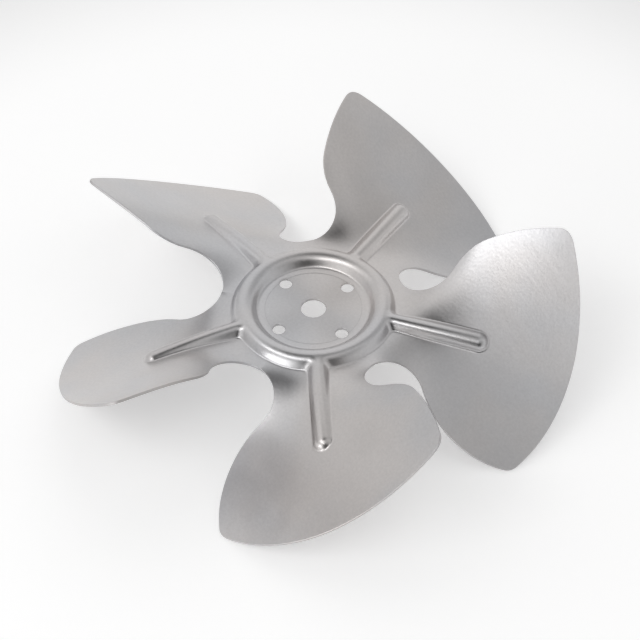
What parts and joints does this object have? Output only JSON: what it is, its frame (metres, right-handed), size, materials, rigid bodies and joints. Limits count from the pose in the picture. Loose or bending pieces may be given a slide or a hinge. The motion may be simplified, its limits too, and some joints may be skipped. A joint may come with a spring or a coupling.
{
  "type": "axial fan impeller",
  "caption": "Pressed sheet-aluminium axial fan impeller with broad twisted round blades, rib and ring beads, and a drilled hub disc for bolting to a motor.",
  "frame": {"origin": "centre of the hub disc's back face, on the axis of the centre hole", "axes": "+Z along the shaft towards the side on which the ring and rib beads stand up, +X along the rib of the first blade"},
  "size_m": [0.1944, 0.1964, 0.0524],
  "materials": {
    "sheet_aluminium": "satin mill finish with a fine rolled grain"
  },
  "bodies": {
    "root": {"impeller": "sheet_aluminium"}
  },
  "joints": []
}
